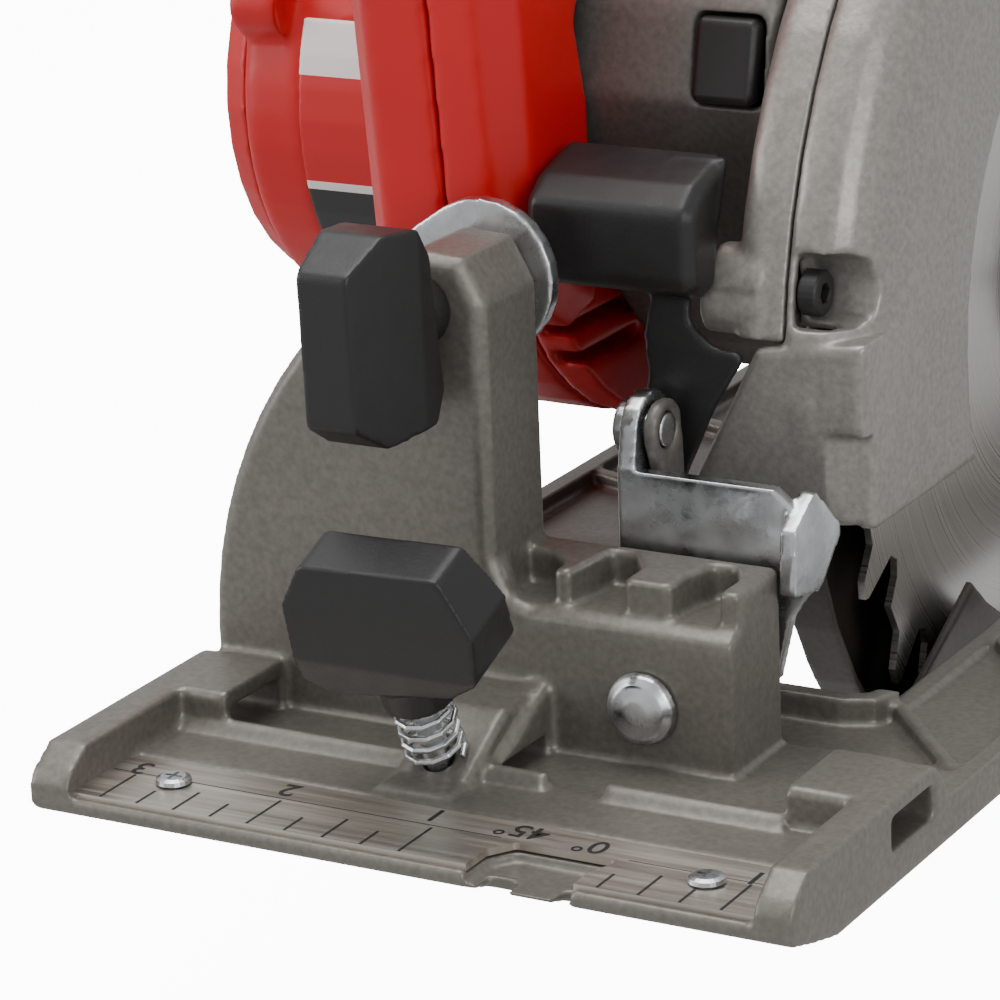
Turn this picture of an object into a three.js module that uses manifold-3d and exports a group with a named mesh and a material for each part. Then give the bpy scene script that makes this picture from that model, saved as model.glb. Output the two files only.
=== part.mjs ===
// Cordless circular saw with a 165 mm blade, built as an assembly of separate pieces.
// Units are millimetres. X runs across the saw, with the blade side at +X and the motor at -X.
// The saw cuts towards -Y, and +Z is up. The sole of the shoe lies at Z = 0 and the blade at X = 0.
// Inside this file Y counts back from the front edge of the cutting scale; the exported group is
// moved so that its origin lies on the sole, on the cut line.
import * as THREE from 'three';
import { mergeVertices } from 'three/addons/utils/BufferGeometryUtils.js';
import Module from 'manifold-3d';

const wasm = await Module();
wasm.setup();

// ---------------------------------------------------------------- driving dimensions
const ORIGIN_BACK = 30; // the part's origin lies this far behind the scale's front edge

const SHOE_LEFT = -87.6;
const SHOE_RIGHT = 36.9;
const SHOE_FRONT = -1.2;
const SHOE_BACK = 276;
const OPENING_BACK = 264; // rear end of the blade opening
const SOLE_THICK = 3.6;
const WALL_TOP = 6.6;
const RAIL_TOP = 13.2;
const CHANNEL_FRONT = 31.2; // edge-guide channel, from front to back
const CHANNEL_BACK = 47;
const CHANNEL_FLOOR = 5.3;
const PLATE_DEEP = 16.5; // cutting scale plate, front to back
const PLATE_TOP = 7;

const FRONT_PLANE = 47; // front of the bevel quadrant and of the pivot block
const BEVEL_X = -10.5; // bevel pivot axis, along Y
const BEVEL_Z = 14.5;
const QUADRANT_R = 75.5;
const BOLT_R = 67.6; // distance from the bevel pivot to the clamping bolt
const BOLT_X = -46;
const BOLT_Z = 72;
const BEVEL_TRAVEL = 50; // degrees
const BRACKET_Y = 65.9; // front of the steel bevel bracket
const BRACKET_THICK = 2.7;

const DEPTH_Y = 72.8; // depth pivot axis, along X
const DEPTH_Z = 49;

const ARBOR_Y = 175;
const ARBOR_Z = 51;
const BLADE_R = 82.5;
const BLADE_TEETH = 24;
const GUARD_R = 93.5; // upper guard, outside
const GUARD_WALL = 2.2;
const LOWER_R = 88; // lower guard, outside
const MOTOR_Y = 158;
const MOTOR_Z = 80;
const GEAR_TEETH = 52;
const PINION_TEETH = 15;
const GEAR_MODULE = 1;

const SEAM_X = -58; // where the two handle halves meet
const GRIP_RIGHT = -44.4;
const GRIP_LEFT = -74;

// ---------------------------------------------------------------- colours
const CAST = { color: 0x6a6259, roughness: 0.5, metalness: 0.6 };
const GUARD_CAST = { color: 0x8d8983, roughness: 0.45, metalness: 0.7 };
const RED = { color: 0xd8151b, roughness: 0.4, metalness: 0 };
const BLACK = { color: 0x1b1a1a, roughness: 0.6, metalness: 0 };
const ZINC = { color: 0xc9ccd0, roughness: 0.3, metalness: 1 };
const STEEL = { color: 0xb5b3af, roughness: 0.35, metalness: 1 };
const DARK_STEEL = { color: 0x4a4541, roughness: 0.45, metalness: 0.8 };
const SCALE_STEEL = { color: 0x9a9086, roughness: 0.4, metalness: 0.9 };
const COPPER = { color: 0xa8623a, roughness: 0.4, metalness: 0.9 };
const LABEL = { color: 0xe8e6e2, roughness: 0.5, metalness: 0 };

// ---------------------------------------------------------------- shape helpers
const turn = (degrees) => THREE.MathUtils.degToRad(degrees);

// A closed outline from corners [a, b] or [a, b, radius]; a radius rounds that corner.
function outline(corners, steps = 2) {
  const points = [];
  corners.forEach(([x, y, radius = 0], i) => {
    const corner = new THREE.Vector2(x, y);
    if (radius === 0) {
      points.push(corner);
      return;
    }
    const before = corners.at(i - 1);
    const after = corners[(i + 1) % corners.length];
    const toBefore = new THREE.Vector2(before[0] - x, before[1] - y).normalize();
    const toAfter = new THREE.Vector2(after[0] - x, after[1] - y).normalize();
    const half = Math.acos(toBefore.dot(toAfter)) / 2;
    const room = Math.min(...[before, after].map(
      (other) => Math.hypot(other[0] - x, other[1] - y) * (other[2] ? 0.48 : 0.95)));
    const reach = Math.min(radius / Math.tan(half), room);
    const bend = reach * Math.tan(half);
    const centre = corner.clone().add(toBefore.clone().add(toAfter).normalize().multiplyScalar(bend / Math.sin(half)));
    const start = corner.clone().addScaledVector(toBefore, reach).sub(centre);
    const end = corner.clone().addScaledVector(toAfter, reach).sub(centre);
    const sweep = Math.atan2(start.cross(end), start.dot(end));
    for (let k = 0; k <= steps; k += 1) {
      const at = start.angle() + (sweep * k) / steps;
      points.push(new THREE.Vector2(Math.cos(at), Math.sin(at)).multiplyScalar(bend).add(centre));
    }
  });
  return new THREE.Shape(points);
}

// Corners along an arc, from one angle to another in degrees.
function arc(a, b, radius, from, to, steps) {
  return Array.from({ length: steps + 1 }, (_, k) => {
    const at = turn(from + ((to - from) * k) / steps);
    return [a + radius * Math.cos(at), b + radius * Math.sin(at)];
  });
}

const circle = (a, b, radius, steps = 20) => outline(arc(a, b, radius, 0, 360 - 360 / steps, steps - 1));
const rectangle = (a0, a1, b0, b1, radius = 0) =>
  outline([[a0, b0, radius], [a1, b0, radius], [a1, b1, radius], [a0, b1, radius]]);

// Adds the zero-area faces that triangulating a flat outline leaves out, so that the surface is closed.
function closeSlivers(triangles) {
  const edges = new Set();
  for (let k = 0; k < triangles.length; k += 3) {
    const [a, b, c] = triangles.slice(k, k + 3);
    [[a, b], [b, c], [c, a]].forEach(([from, to]) => edges.add(`${from} ${to}`));
  }
  const next = new Map();
  edges.forEach((edge) => {
    const [from, to] = edge.split(' ').map(Number);
    if (!edges.has(`${to} ${from}`)) next.set(to, from);
  });
  while (next.size > 0) {
    const first = next.keys().next().value;
    const loop = [];
    for (let at = first; next.has(at);) {
      loop.push(at);
      const follows = next.get(at);
      next.delete(at);
      at = follows;
    }
    for (let k = 1; k + 1 < loop.length; k += 1) triangles.push(loop[0], loop[k], loop[k + 1]);
  }
}

// A solid that manifold can join and cut.
function solid(geometry) {
  const bare = geometry.clone();
  bare.deleteAttribute('normal');
  bare.deleteAttribute('uv');
  const merged = mergeVertices(bare, 1e-4);
  const corners = merged.index.array;
  const triangles = [];
  for (let k = 0; k < corners.length; k += 3) {
    const [a, b, c] = corners.slice(k, k + 3);
    if (a !== b && b !== c && c !== a) triangles.push(a, b, c);
  }
  closeSlivers(triangles);
  return new wasm.Manifold(new wasm.Mesh({
    numProp: 3,
    vertProperties: Float32Array.from(merged.attributes.position.array),
    triVerts: Uint32Array.from(triangles),
  }));
}

// Extrudes an outline; edge is the size of the rounding on both end faces.
function extrusion(shape, length, edge) {
  const settings = { depth: length, bevelEnabled: false, steps: 1 };
  if (edge > 0) {
    Object.assign(settings, {
      depth: length - 2 * edge, bevelEnabled: true, bevelThickness: edge, bevelSize: edge,
      bevelOffset: -edge, bevelSegments: 1,
    });
  }
  const geometry = new THREE.ExtrudeGeometry(shape, settings);
  if (edge > 0) geometry.translate(0, 0, edge);
  return geometry;
}

// Outline in (Y, Z), extruded from x0 to x1.
function alongX(shape, x0, x1, edge = 0) {
  const basis = new THREE.Matrix4().makeBasis(
    new THREE.Vector3(0, 1, 0), new THREE.Vector3(0, 0, 1), new THREE.Vector3(1, 0, 0));
  return solid(extrusion(shape, x1 - x0, edge).applyMatrix4(basis).translate(x0, 0, 0));
}

// Outline in (X, Z), extruded from y0 to y1.
function alongY(shape, y0, y1, edge = 0) {
  return solid(extrusion(shape, y1 - y0, edge).rotateX(Math.PI / 2).translate(0, y1, 0));
}

// Outline in (X, Y), extruded from z0 to z1.
function alongZ(shape, z0, z1, edge = 0) {
  return solid(extrusion(shape, z1 - z0, edge).translate(0, 0, z0));
}

const block = (x0, x1, y0, y1, z0, z1) => alongZ(rectangle(x0, x1, y0, y1), z0, z1);
const barX = (y, z, radius, x0, x1, steps = 20) => alongX(circle(y, z, radius, steps), x0, x1);
const barY = (x, z, radius, y0, y1, steps = 20) => alongY(circle(x, z, radius, steps), y0, y1);
const barZ = (x, y, radius, z0, z1, steps = 20) => alongZ(circle(x, y, radius, steps), z0, z1);
const join = (...pieces) => pieces.reduce((whole, piece) => whole.add(piece));
const cut = (whole, ...tools) => tools.reduce((rest, tool) => rest.subtract(tool), whole);

// A lathe profile of [radius, along] pairs, turned about an axis.
function turned(profile, segments = 24) {
  const points = profile.map(([r, h]) => new THREE.Vector2(r, h));
  return new THREE.LatheGeometry(THREE.ShapeUtils.area(points) < 0 ? points.reverse() : points, segments);
}
// Its axis laid along +X (the profile's second number becomes X), through (y, z).
const turnedX = (profile, y, z, segments) => solid(turned(profile, segments).rotateZ(-Math.PI / 2).translate(0, y, z));
// Its axis laid along -Y (the profile's second number is measured forwards from y), through (x, z).
const turnedY = (profile, x, y, z, segments) => solid(turned(profile, segments).rotateX(Math.PI).translate(x, y, z));

const saw = new THREE.Group();

function piece(name, shape, finish) {
  const mesh = shape.getMesh();
  const geometry = new THREE.BufferGeometry();
  geometry.setAttribute('position', new THREE.BufferAttribute(mesh.vertProperties, 3));
  geometry.setIndex(new THREE.BufferAttribute(mesh.triVerts, 1));
  geometry.computeVertexNormals();
  const node = new THREE.Mesh(geometry, new THREE.MeshStandardMaterial(finish));
  node.name = name;
  saw.add(node);
}

// ---------------------------------------------------------------- shoe
const railProfile = outline([
  [SHOE_FRONT, 3.9, 0.8], [SHOE_FRONT, 8.3, 0.6], [0.3, 10.1, 0.8], [4.5, 12.9, 1.5],
  [46.2, RAIL_TOP, 3], [49, 10.4, 1], [51.4, WALL_TOP, 1.5], [60, WALL_TOP], [60, 0], [13, 0], [5, 2],
]);

function shoeFloor() {
  return alongX(outline([
    [SHOE_FRONT, 3.9, 0.8], [SHOE_FRONT, 6.5, 0.8], [-0.3, 6.5], [-0.3, 5.6], [PLATE_DEEP + 0.3, 5.6],
    [PLATE_DEEP + 0.3, PLATE_TOP], [CHANNEL_FRONT, PLATE_TOP], [CHANNEL_FRONT + 0.4, CHANNEL_FLOOR],
    [64.4, CHANNEL_FLOOR], [65.5, SOLE_THICK], [SHOE_BACK, SOLE_THICK], [SHOE_BACK, 1.6], [SHOE_BACK - 5, 0],
    [13, 0], [5, 2],
  ]), SHOE_LEFT, SHOE_RIGHT);
}

// Raised lip along the front of the edge-guide channel.
function channelLip(x0, x1) {
  return alongX(outline([[27.8, 6], [27.8, 7.2], [29.6, 9, 0.5], [CHANNEL_FRONT, 9, 0.4], [CHANNEL_FRONT, 6]]), x0, x1);
}

function shoeWalls() {
  return join(
    alongX(railProfile, SHOE_LEFT, -81),
    alongX(railProfile, 30.9, SHOE_RIGHT),
    alongX(rectangle(29.5, 47.3, 3, RAIL_TOP, 1), -81.4, -73),
    alongX(rectangle(30, 47.3, 3, RAIL_TOP, 1), 20.6, 31.2),
    block(SHOE_LEFT, SHOE_LEFT + 3.6, 55, SHOE_BACK, 1, WALL_TOP),
    block(SHOE_RIGHT - 3.6, SHOE_RIGHT, 55, SHOE_BACK, 1, WALL_TOP),
    block(SHOE_LEFT, SHOE_RIGHT, SHOE_BACK - 3.6, SHOE_BACK, 1.6, WALL_TOP),
  );
}

// Ribs that stiffen the sole behind the pivot block, on both sides of the blade opening.
function soleRibs() {
  const ribs = [];
  const slantRight = [[12, 84], [12, 120], [12, 156], [12, 192], [12, 228]];
  slantRight.forEach(([x, y]) => {
    ribs.push(alongZ(outline([[x, y], [SHOE_RIGHT - 2, y - 26], [SHOE_RIGHT - 2, y - 22.5], [x, y + 3.5]]), 2, 6.2));
  });
  for (let y = 96; y < 250; y += 36) {
    ribs.push(alongZ(outline([[SHOE_LEFT + 2, y], [-44, y - 14], [-44, y - 11], [SHOE_LEFT + 2, y + 3]]), 2, 6.2));
  }
  return join(...ribs);
}

function openingRim() {
  const outer = outline([
    [-19.5, 77, 8], [14, 77, 7], [14, OPENING_BACK + 3.6, 4], [-42.2, OPENING_BACK + 3.6, 4], [-42.2, 96, 6], [-31, 82.5, 5], [-19.5, 82.5, 3],
  ]);
  return alongZ(outer, 1, 8);
}

function bladeOpening() {
  return alongZ(outline([
    [-16, 80.5, 5], [10.6, 80.5, 4], [10.6, OPENING_BACK, 3], [-38.7, OPENING_BACK, 3], [-38.7, 98, 4], [-28.5, 86, 4], [-16, 86, 3],
  ]), -5, 40);
}

// The quadrant that the bevel clamp runs on, one casting with the shoe.
function quadrant() {
  const rim = (radius, from, to) => arc(BEVEL_X, BEVEL_Z, radius, from, to, 14);
  const front = outline([
    ...rim(QUADRANT_R, 188.5, 121), [-35.4, 85.6, 8], [-35.4, 26, 8], [4, 26.2, 2], [4, 3.2], [-84, 3.2],
  ]);
  const inner = outline([...rim(QUADRANT_R - 3.2, 186, 132), [-58.9, 5]]);
  const deep = outline([
    ...arc(BEVEL_X, BEVEL_Z, QUADRANT_R, 130, 121, 3), [-35.4, 85.6, 8], [-35.4, 26, 8], [-30, 20], [-59.2, 20],
  ]);
  const rimShell = cut(
    alongY(outline([...rim(QUADRANT_R, 188.5, 128), [-57, 70], [-57, 3.2]]), 48, 60, 1.2),
    alongY(inner, 40, 70));
  return join(alongY(front, FRONT_PLANE, 53, 1.5), rimShell, alongY(deep, FRONT_PLANE, 65.5, 2.2));
}

// The block that carries the bevel pivot, with its stepped top.
function pivotBlock() {
  const base = alongX(outline([[FRONT_PLANE, 2], [FRONT_PLANE, 26, 2], [49.6, 27.5, 1], [63.8, 27.5], [63.8, 2]]),
    -40, 4);
  const top = outline([
    [4, 63.8, 1], [-42, 63.8], [-42, 58.8], [-31, 57.5, 3], [-26.8, 54, 2], [-26.8, 50, 0.8], [-24, 50, 0.8],
    [-22.8, 61.5, 0.8], [-19, 61.5, 0.8], [-15, 56, 1.5], [-15, 49.8, 1], [-7, 49.8, 1], [-7, 56, 1.5],
    [-5.6, 61.5, 0.8], [-2, 61.5, 0.8], [0.6, 57, 1], [0.6, 50, 0.8], [4, 50, 1],
  ], 2);
  return join(base, alongZ(top, 27, 33, 0.5), barZ(-9.7, 53.6, 2.1, 32.4, 33.15, 16));
}

// The pad that the edge-guide screw bears on.
function screwPad() {
  const profile = outline([[19, 3], [19, 7.9, 0.6], [24.5, 8.1, 2], [36.5, 15, 3], [52, 16, 1], [52, 3]]);
  return join(alongX(profile, -40.5, -27.8, 0.8), alongX(outline([[30, 4], [30, 8], [46, 16], [52, 17], [52, 4]]), -30, -26, 0.8));
}

// Lug that carries the rear bevel pin.
function rearLug() {
  const profile = outline([[BEVEL_X - 7.3, 1], [BEVEL_X + 7.3, 1], ...arc(BEVEL_X, BEVEL_Z, 7.3, 0, 180, 10)]);
  return alongY(profile, OPENING_BACK + 3.6, SHOE_BACK);
}

function shoe() {
  const body = join(shoeFloor(), channelLip(-81.2, -17.5), channelLip(-8, 21), shoeWalls(), openingRim(), soleRibs(),
    quadrant(), pivotBlock(), screwPad(), rearLug());
  const guideSlot = (x0, x1, top) => block(x0, x1, CHANNEL_FRONT, 45.4, CHANNEL_FLOOR, top);
  return cut(body,
    bladeOpening(),
    guideSlot(SHOE_LEFT - 5, -72, 10.4), guideSlot(19, SHOE_RIGHT + 5, 10.6), guideSlot(-44, -24, 8.4),
    alongZ(outline([[-14.1, -3], [-14.1, 6, 2], [-11.5, 9.6, 1], [4.8, 9.6, 1], [2.6, 5, 1], [2.6, -3]]), 4.2, 12),
    block(-12.6, -7.7, -3, 3.4, -1, 12), block(-0.1, 2.2, -3, 3.4, -1, 12),
    barY(BEVEL_X, BEVEL_Z, 3.4, 40, 68), barY(BOLT_X, BOLT_Z, 3.5, 40, 68),
    barY(BEVEL_X, BEVEL_Z, 3.4, 262, 280),
    block(-25, 4, 260, OPENING_BACK + 3.6, 5, 12), block(9, 16, 84, 262, 4.5, 12),
    barZ(-69.1, 9.2, 1.7, -1, 9, 12), barZ(19.4, 8.1, 1.7, -1, 9, 12),
    fenceBore(),
  );
}

// ---------------------------------------------------------------- cutting scale and its screws
function scalePlate() {
  const plate = alongZ(outline([
    [-81, 0.1], [-14.3, 0.1], [-14.3, 6, 1], [-11.7, 9.9, 1], [5, 9.9, 1], [2.8, 4.6, 1], [2.8, 0.1], [30.6, 0.1],
    [30.6, PLATE_DEEP], [-81, PLATE_DEEP],
  ]), 5.9, PLATE_TOP);
  return cut(plate, barZ(-69.1, 9.2, 1.8, 0, 9, 12), barZ(19.4, 8.1, 1.8, 0, 9, 12));
}

function scaleScrew(x, y) {
  const profile = [[0, 1.4], [1.3, 1.4], [1.3, 7.3], [2.75, 7.3], [2.6, 7.9], [1.9, 8.2], [0, 8.25]];
  const screw = solid(turned(profile, 20).rotateX(Math.PI / 2).translate(x, y, 0));
  return cut(screw, block(x - 1.5, x + 1.5, y - 0.3, y + 0.3, 7.7, 9), block(x - 0.3, x + 0.3, y - 1.5, y + 1.5, 7.7, 9));
}

// ---------------------------------------------------------------- knobs and the edge-guide screw
const KNOB_SIDE = outline([
  [-15.4, 5, 1], [-15.8, 18, 2], [-11.6, 25.2, 1.5], [11.6, 26, 1.5], [15.8, 17, 2], [15, 9, 1.5], [10, 5.6, 2],
  [-10.8, 2.6, 2],
]);
const KNOB_FACE = outline([[-5.6, 0], [5.6, 0], [6.4, 9, 1.5], [4.2, 26.4, 0.8], [-4.2, 26.4, 0.8], [-6.4, 9, 1.5]]);

// A wing knob that stands along +Z on its stud, its wing lying along X.
function knob(boreDeep) {
  const wing = alongY(KNOB_SIDE, -9, 9, 1).intersect(alongX(KNOB_FACE, -22, 22, 0));
  return cut(join(wing, barZ(0, 0, 5.6, -0.6, 8)), barZ(0, 0, 3.3, -2, boreDeep, 16));
}

const FENCE_TILT = 21; // degrees that the edge-guide screw leans forwards
const FENCE_SEAT = new THREE.Vector3(-34.6, 27.6, 9.9);
const FENCE_PLACE = new THREE.Matrix4().makeTranslation(FENCE_SEAT)
  .multiply(new THREE.Matrix4().makeRotationX(turn(FENCE_TILT)));
const BEVEL_PLACE = new THREE.Matrix4().makeTranslation(BOLT_X, 46.4, BOLT_Z)
  .multiply(new THREE.Matrix4().makeRotationX(turn(90)))
  .multiply(new THREE.Matrix4().makeRotationZ(turn(90)));

const placed = (shape, matrix) => shape.transform(matrix.elements);

function fenceBore() {
  return placed(barZ(0, 0, 2.5, -14, 6, 16), FENCE_PLACE);
}

function fenceScrew() {
  return placed(join(barZ(0, 0, 2.1, -1.5, 23.6, 16), barZ(0, 0, 3, 10.8, 12, 16)), FENCE_PLACE);
}

// Compression spring under the edge-guide knob.
function fenceSpring() {
  class Helix extends THREE.Curve {
    getPoint(t, target = new THREE.Vector3()) {
      const angle = 2 * Math.PI * 4 * t;
      return target.set(4.3 * Math.cos(angle), 4.3 * Math.sin(angle), 0.9 + 8.9 * t);
    }
  }
  const wire = new THREE.ExtrudeGeometry(circle(0, 0, 0.55, 5), { extrudePath: new Helix(), steps: 44 });
  return placed(solid(wire), FENCE_PLACE);
}

// ---------------------------------------------------------------- bevel pivot, bracket and clamp
function bevelRivet() {
  const profile = [[0, -23.4], [5, -23.4], [5, -21.9], [3, -21.9], [3, 0.3], [5.8, 0.3], [5.4, 1.5], [4.2, 2.6], [2, 3.1], [0, 3.1]];
  return turnedY(profile, BEVEL_X, FRONT_PLANE, BEVEL_Z, 28);
}

function bevelBolt() {
  const profile = [[0, -23.6], [5.5, -23.6], [5.8, -22.3], [3, -22.2], [3, 14], [0, 14]];
  return turnedY(profile, BOLT_X, FRONT_PLANE, BOLT_Z, 24);
}

function bevelBracket() {
  const back = BRACKET_Y + BRACKET_THICK;
  const boltAngle = THREE.MathUtils.radToDeg(Math.atan2(BOLT_Z - BEVEL_Z, BOLT_X - BEVEL_X));
  const farAngle = boltAngle + BEVEL_TRAVEL + 2;
  const sector = (inner, outer, from, to, steps = 12) =>
    outline([...arc(BEVEL_X, BEVEL_Z, outer, from, to, steps), ...arc(BEVEL_X, BEVEL_Z, inner, to, from, steps)]);
  const farEnd = [BEVEL_X + BOLT_R * Math.cos(turn(farAngle)), BEVEL_Z + BOLT_R * Math.sin(turn(farAngle))];
  const plate = join(
    alongY(sector(BOLT_R - 12, BOLT_R + 12, boltAngle, farAngle), BRACKET_Y, back),
    barY(BOLT_X, BOLT_Z, 12, BRACKET_Y, back, 24),
    barY(farEnd[0], farEnd[1], 12, BRACKET_Y, back, 24),
    barY(BEVEL_X, BEVEL_Z, 8.8, BRACKET_Y, back, 28),
    alongY(outline([[-19, 14], [2, 14], [4.4, 24], [6.8, 27.6], [6.8, 40, 2], [2, 44], [-22.6, 44, 1], [-24, 43], [-24, 31],
      [-60, 31], [-68, 24], [-64, 15]]), BRACKET_Y, back),
  );
  const leftEar = alongX(outline([
    [BRACKET_Y, 27], [69.5, 27], [75.5, 41, 3], ...arc(DEPTH_Y, DEPTH_Z, 5.9, -20, 180, 9), [BRACKET_Y, 44],
  ]), -24, -21.2);
  const rightEar = alongX(outline([[62, 29, 1], [71, 27.4, 2], [79.2, 35, 1.5], [70, 43.4, 1], [62.6, 39, 1]]), 4.5, 7.2);
  const slot = join(
    alongY(sector(BOLT_R - 3.6, BOLT_R + 3.6, boltAngle, farAngle), BRACKET_Y - 1, back + 1),
    barY(BOLT_X, BOLT_Z, 3.6, BRACKET_Y - 1, back + 1), barY(farEnd[0], farEnd[1], 3.6, BRACKET_Y - 1, back + 1));
  return cut(join(plate, leftEar, rightEar), slot, barY(BEVEL_X, BEVEL_Z, 3.4, 60, 75), barX(DEPTH_Y, DEPTH_Z, 2.8, -30, -18));
}

// Steel arm at the back: it turns on the rear bevel pin and guides the depth setting.
const REAR_ARM_R = 178; // slot, measured from the depth pivot
const LOCK_ANGLE = 4.8; // where the depth bolt stands on that slot, in degrees above the pivot
const LOCK_Y = DEPTH_Y + REAR_ARM_R * Math.cos(turn(LOCK_ANGLE));
const LOCK_Z = DEPTH_Z + REAR_ARM_R * Math.sin(turn(LOCK_ANGLE));
const ARM_LEFT = -16.8;
const ARM_RIGHT = -14.6;

function rearBracket() {
  const band = (half, from, to) => outline([
    ...arc(DEPTH_Y, DEPTH_Z, REAR_ARM_R + half, from, to, 10), ...arc(DEPTH_Y, DEPTH_Z, REAR_ARM_R - half, to, from, 10)]);
  const arm = join(
    alongX(band(8, -10, 17), ARM_LEFT, ARM_RIGHT),
    alongX(outline([[240, 14], [267.3, 8.6], [267.3, 20.5], [258, 30], [240, 24]]), ARM_LEFT, ARM_RIGHT),
    alongY(outline([
      [ARM_LEFT, 8.6], [-13, 8.2, 2], [-5.4, 8.2, 4], [-4, 14.5, 3], [-5.4, 20.8, 4], [-13, 20.8, 2], [ARM_LEFT, 20.5],
    ]), 264.6, 267.3));
  return cut(arm, alongX(band(3.3, LOCK_ANGLE - 12.5, LOCK_ANGLE + 9), -20, -10), barY(BEVEL_X, BEVEL_Z, 3.4, 260, 270));
}

function rearPivotPin() {
  const profile = [[0, -10], [3, -10], [3, 1.9], [3.8, 1.9], [3.6, 3.2], [0, 3.6]];
  return turnedY(profile, BEVEL_X, 266.2, BEVEL_Z, 20);
}

function depthPivotPin() {
  const profile = [[0, -26.2], [4.2, -26.2], [4.2, -24.4], [2.6, -24.4], [2.6, -18.6], [0, -18.6]];
  return turnedX(profile, DEPTH_Y, DEPTH_Z, 20);
}

// ---------------------------------------------------------------- upper guard: casting and cover
const SPLIT_X = -4; // parting line between the casting and the cover
const SCREW_Y = 87.6; // screw that holds the cover at the front
const SCREW_Z = 68.4;
const COVER_X = 10;

// Side outline of the guard.
function guardOutline() {
  return outline([
    [81.5, 37.6], ...arc(ARBOR_Y, ARBOR_Z, GUARD_R, 180, 12, 24), [262, 62], [148, 33], [92, 33],
  ]);
}

// Motor side of the guard, with the boss of the front screw and the hole for the gear case's nose.
function upperGuard() {
  const wall = alongX(guardOutline(), -13, SPLIT_X - 0.15);
  const roundEdge = turnedX([
    [0, -13], [GUARD_R - 3, -13], [GUARD_R - 1.2, -12.4], [GUARD_R - 0.3, -11.2], [GUARD_R, -9.5], [GUARD_R, -7.6],
    [GUARD_R - 0.35, -7.4], [GUARD_R - 0.35, SPLIT_X - 0.15], [0, SPLIT_X - 0.15],
  ], ARBOR_Y, ARBOR_Z, 60);
  const boss = join(barX(87.9, 69.6, 5.2, -16.6, -8, 20), barX(88.1, 65.6, 5.6, -18, -8, 20));
  const open = GUARD_R - GUARD_WALL;
  const cavity = join(
    barX(ARBOR_Y, ARBOR_Z, open, -10.8, 0, 48),
    alongX(outline([[ARBOR_Y - open, ARBOR_Z], [ARBOR_Y - open, 0], [280, 0], [280, ARBOR_Z]]), -10.8, 0));
  return cut(join(wall.intersect(roundEdge), boss),
    cut(cavity, barX(87.9, 68, 5.6, -12, 0, 16)), block(-30, 5, 70, 108.4, 0, 61.3), barX(ARBOR_Y, ARBOR_Z, 21, -20, 0, 32),
    barX(SCREW_Y, SCREW_Z, 1.9, -30, 0, 16), barX(LOCK_Y, LOCK_Z, 3.2, -20, 0, 16));
}

// Blade side of the guard and the flared nose.
function guardCover() {
  const shell = turnedX([
    [0, SPLIT_X + 0.15], [GUARD_R - 0.35, SPLIT_X + 0.15], [GUARD_R - 0.35, -3], [GUARD_R, -2.6], [GUARD_R, 0.6],
    [GUARD_R - 0.8, 3], [GUARD_R - 2.6, 5.2], [GUARD_R - 6, 7.4], [GUARD_R - 10, 8.6], [GUARD_R - 15, 9.3],
    [62, COVER_X], [0, COVER_X],
  ], ARBOR_Y, ARBOR_Z, 60).intersect(alongX(guardOutline(), SPLIT_X, COVER_X + 1));
  const nose = alongY(outline([
    [-8.4, 60.4], [-20, 37.5, 1], [-5.9, 38, 3], [-1, 34.5], [9.6, 32.5], [9.6, 62.4], [7.4, 62.4],
  ]), 81.8, 108, 0.7);
  const corner = alongZ(outline([[-9, 60], [-4.5, 78], [9.8, 85.5], [14, 78]]), 20, 48);
  const cavity = join(
    barX(ARBOR_Y, ARBOR_Z, 91.3, -10.8, 3, 48),
    barX(ARBOR_Y, ARBOR_Z, 89, 2.8, 5.2, 48),
    barX(ARBOR_Y, ARBOR_Z, 84.5, 5, 7.4, 48),
    alongX(outline([[84.2, ARBOR_Z + 2], [84.2, 0], [280, 0], [280, ARBOR_Z + 2]]), -10.8, 7.4));
  const screwSeat = block(-3.8, 7.2, 88, 92.6, 62.5, 79).intersect(shell);
  const pocket = alongX(outline([[70, 63.6], [91.7, 63.6, 4.6], [91.7, 75, 4.6], [70, 75]]), -2.6, 12);
  return cut(join(cut(join(shell, nose), corner, cavity), screwSeat),
    pocket, barX(ARBOR_Y, ARBOR_Z, 55, 5, 14, 48), barX(SCREW_Y, SCREW_Z, 2.2, -10, 14, 16),
    block(-30, 20, 124, 300, 0, 32.9));
}

function guardScrew() {
  const profile = [[0, -9.8], [1.6, -9.8], [1.6, -2.2], [3.6, -2.2], [3.6, 0.4], [3.2, 0.8], [0, 0.8]];
  return cut(turnedX(profile, SCREW_Y, SCREW_Z, 24), alongX(circle(SCREW_Y, SCREW_Z, 1.7, 6), -1.2, 2));
}

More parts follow.
